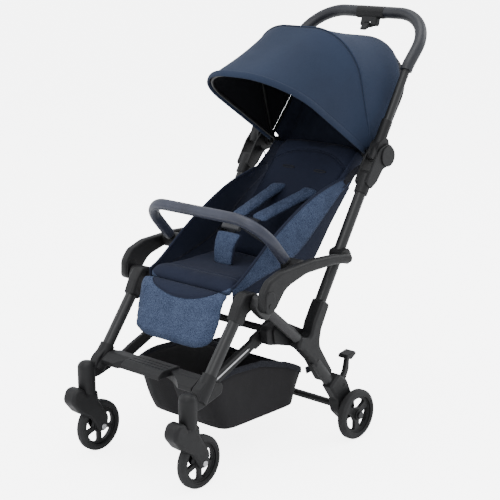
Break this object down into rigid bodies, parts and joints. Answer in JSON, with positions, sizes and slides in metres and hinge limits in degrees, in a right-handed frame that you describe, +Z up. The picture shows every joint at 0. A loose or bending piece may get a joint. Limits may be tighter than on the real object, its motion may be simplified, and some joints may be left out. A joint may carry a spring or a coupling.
{
  "type": "baby stroller",
  "caption": "Folding stroller with swivel front wheels, reclining seat, hood, bumper bar, calf rest, footrest and under-seat basket.",
  "frame": {"origin": "on the ground under the middle of the stroller", "axes": "+Z up, the child faces -Y and the pusher walks at +Y, +X is the child's left"},
  "size_m": [0.536, 0.9547, 1.038],
  "materials": {
    "frame_paint": "satin powder coat",
    "plastic": "fine moulded texture",
    "tyre": "matt",
    "steel": "plated",
    "grip": "grained leatherette",
    "canopy_cloth": "fine plain weave",
    "seat_cloth": "smooth brushed weave",
    "melange_cloth": "melange weave",
    "basket_cloth": "coarse mesh weave",
    "buckle_grey": "semi-gloss"
  },
  "bodies": {
    "chassis": {"rear_leg_left": "frame_paint", "rear_leg_right": "frame_paint", "rear_hub_left": "plastic", "rear_hub_right": "plastic", "diagonal_tube_left": "frame_paint", "diagonal_tube_right": "frame_paint", "push_tube_left": "frame_paint", "push_tube_right": "frame_paint", "hinge_housing_left": "plastic", "hinge_housing_right": "plastic", "armrest_left": "plastic", "armrest_right": "plastic", "rear_bracket_left": "plastic", "rear_bracket_right": "plastic", "rear_axle": "frame_paint", "crossbar": "plastic", "frame_bolts": "plastic", "seat_base": "seat_cloth", "side_panels": "melange_cloth", "crotch_pad": "melange_cloth", "buckle": "plastic", "canopy_rear_rim": "plastic", "canopy_rear": "canopy_cloth", "basket": "basket_cloth"},
    "front_frame": {"front_leg_left": "frame_paint", "front_leg_right": "frame_paint", "front_hub_left": "plastic", "front_hub_right": "plastic", "caster_housing_left": "plastic", "caster_housing_right": "plastic", "footrest_plate": "plastic", "footrest_tread": "plastic"},
    "caster_left": {"caster_fork_left": "plastic", "front_axle_left": "steel"},
    "caster_right": {"caster_fork_right": "plastic", "front_axle_right": "steel"},
    "front_wheel_left": {"front_tyre_left": "tyre", "front_rim_left": "plastic"},
    "front_wheel_right": {"front_tyre_right": "tyre", "front_rim_right": "plastic"},
    "rear_wheel_left": {"rear_tyre_left": "tyre", "rear_rim_left": "plastic"},
    "rear_wheel_right": {"rear_tyre_right": "tyre", "rear_rim_right": "plastic"},
    "braces": {"braces": "plastic"},
    "upper_handle": {"handle_tube": "frame_paint", "handle_grip": "grip", "handle_housing": "plastic", "upper_hinge_left": "plastic", "upper_hinge_right": "plastic"},
    "fold_trigger": {"fold_trigger": "plastic"},
    "backrest": {"backrest": "seat_cloth", "shoulder_pads": "melange_cloth"},
    "calf_rest": {"calf_rest": "melange_cloth"},
    "canopy_middle": {"canopy_middle_bow": "plastic"},
    "canopy_front": {"canopy_front_bow": "plastic", "canopy_front": "canopy_cloth"},
    "bumper_bar": {"bumper_bar": "grip"},
    "brake_pedal": {"brake_pedal": "plastic"},
    "buckle_button": {"buckle_button": "buckle_grey"}
  },
  "joints": [
    {"name": "frame_fold", "type": "hinge", "parent": "chassis", "child": "front_frame", "pos_m": [0, -0.2116, 0.408], "axis": [1, 0, 0], "range_deg": [0, 55], "deforming": ["basket", "side_panels", "crotch_pad"]},
    {"name": "brace_fold", "type": "hinge", "parent": "front_frame", "child": "braces", "pos_m": [0, -0.3196, 0.226], "axis": [1, 0, 0], "range_deg": [0, 35.4]},
    {"name": "handle_fold", "type": "hinge", "parent": "chassis", "child": "upper_handle", "pos_m": [0, 0.2544, 0.69], "axis": [-1, 0, 0], "range_deg": [0, 172]},
    {"name": "caster_swivel_left", "type": "hinge", "parent": "front_frame", "child": "caster_left", "pos_m": [0.171, -0.4106, 0.18], "axis": [0, 0, 1], "continuous": true},
    {"name": "front_wheel_spin_left", "type": "hinge", "parent": "caster_left", "child": "front_wheel_left", "pos_m": [0.171, -0.3776, 0.0635], "axis": [1, 0, 0], "continuous": true},
    {"name": "rear_wheel_spin_left", "type": "hinge", "parent": "chassis", "child": "rear_wheel_left", "pos_m": [0.251, 0.1014, 0.0635], "axis": [1, 0, 0], "continuous": true},
    {"name": "caster_swivel_right", "type": "hinge", "parent": "front_frame", "child": "caster_right", "pos_m": [-0.171, -0.4106, 0.18], "axis": [0, 0, 1], "continuous": true},
    {"name": "front_wheel_spin_right", "type": "hinge", "parent": "caster_right", "child": "front_wheel_right", "pos_m": [-0.171, -0.3776, 0.0635], "axis": [1, 0, 0], "continuous": true},
    {"name": "rear_wheel_spin_right", "type": "hinge", "parent": "chassis", "child": "rear_wheel_right", "pos_m": [-0.251, 0.1014, 0.0635], "axis": [1, 0, 0], "continuous": true},
    {"name": "backrest_recline", "type": "hinge", "parent": "chassis", "child": "backrest", "pos_m": [0, 0.0264, 0.432], "axis": [1, 0, 0], "range_deg": [-30, 15], "deforming": ["shoulder_pads"]},
    {"name": "calf_rest_lift", "type": "hinge", "parent": "chassis", "child": "calf_rest", "pos_m": [0, -0.2456, 0.412], "axis": [-1, 0, 0], "range_deg": [0, 45]},
    {"name": "canopy_fold", "type": "hinge", "parent": "chassis", "child": "canopy_middle", "pos_m": [0, 0.2544, 0.69], "axis": [-1, 0, 0], "range_deg": [0, 35], "deforming": ["canopy_rear"]},
    {"name": "canopy_front_fold", "type": "hinge", "parent": "canopy_middle", "child": "canopy_front", "pos_m": [0, 0.2544, 0.69], "axis": [-1, 0, 0], "range_deg": [0, 30], "deforming": ["canopy_front"]},
    {"name": "bumper_bar_release", "type": "slide", "parent": "chassis", "child": "bumper_bar", "axis": [0, -0.6647, 0.7471], "range_m": [0, 0.05]},
    {"name": "brake_press", "type": "hinge", "parent": "chassis", "child": "brake_pedal", "pos_m": [0.221, 0.0694, 0.146], "axis": [-1, 0, 0], "range_deg": [0, 20]},
    {"name": "fold_trigger_squeeze", "type": "hinge", "parent": "upper_handle", "child": "fold_trigger", "pos_m": [0, 0.4544, 0.9895], "axis": [-1, 0, 0], "range_deg": [0, 8], "stiffness_Nm_per_rad": 0.3},
    {"name": "buckle_press", "type": "slide", "parent": "chassis", "child": "buckle_button", "axis": [0, 0.7662, -0.6426], "range_m": [0, 0.002], "stiffness_N_per_m": 400}
  ],
  "couplings": [
    {"joint": "handle_fold", "follows": "frame_fold", "ratio": 3.127},
    {"joint": "brace_fold", "follows": "frame_fold", "ratio": 0.642},
    {"joint": "canopy_front_fold", "follows": "canopy_fold", "ratio": 0.857}
  ]
}
